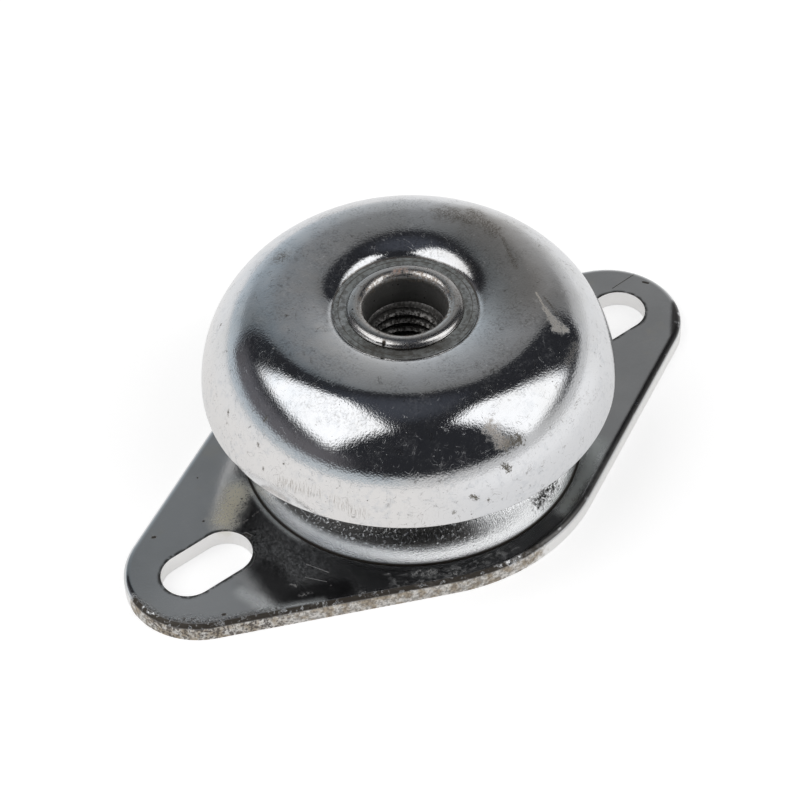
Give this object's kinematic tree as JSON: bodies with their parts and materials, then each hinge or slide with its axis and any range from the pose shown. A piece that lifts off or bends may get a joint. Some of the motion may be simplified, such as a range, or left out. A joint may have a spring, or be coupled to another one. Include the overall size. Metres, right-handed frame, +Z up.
{
  "type": "anti-vibration pedestal mount",
  "caption": "Captive bell-shaped rubber mount: slotted diamond flange with a raised boss, rubber spring, drawn cap and a threaded bush for a bolt from above.",
  "frame": {"origin": "centre of the flange's underside, on the axis of the thread", "axes": "+X runs along the two slots, +Z points up along the thread"},
  "size_m": [0.1064, 0.064, 0.0338],
  "materials": {
    "zinc_flange": "bright zinc plate, worn, with dirt and a little rust along its edges",
    "rubber": "matte black moulded rubber",
    "zinc_cap": "polished zinc plate with fine scratches and specks",
    "steel_bush": "turned steel, zinc plated, with tool marks",
    "zinc_washer": "dull zinc plate"
  },
  "bodies": {
    "flange": {"base_plate": "zinc_flange", "rubber_element": "rubber"},
    "cap": {"bell_cap": "zinc_cap", "threaded_bush": "steel_bush", "rebound_washer": "zinc_washer"}
  },
  "joints": [
    {"name": "cap_travel", "type": "slide", "parent": "flange", "child": "cap", "axis": [0, 0, 1], "range_m": [-0.0032, 0.001], "stiffness_N_per_m": 200000, "deforming": ["rubber_element"]}
  ]
}
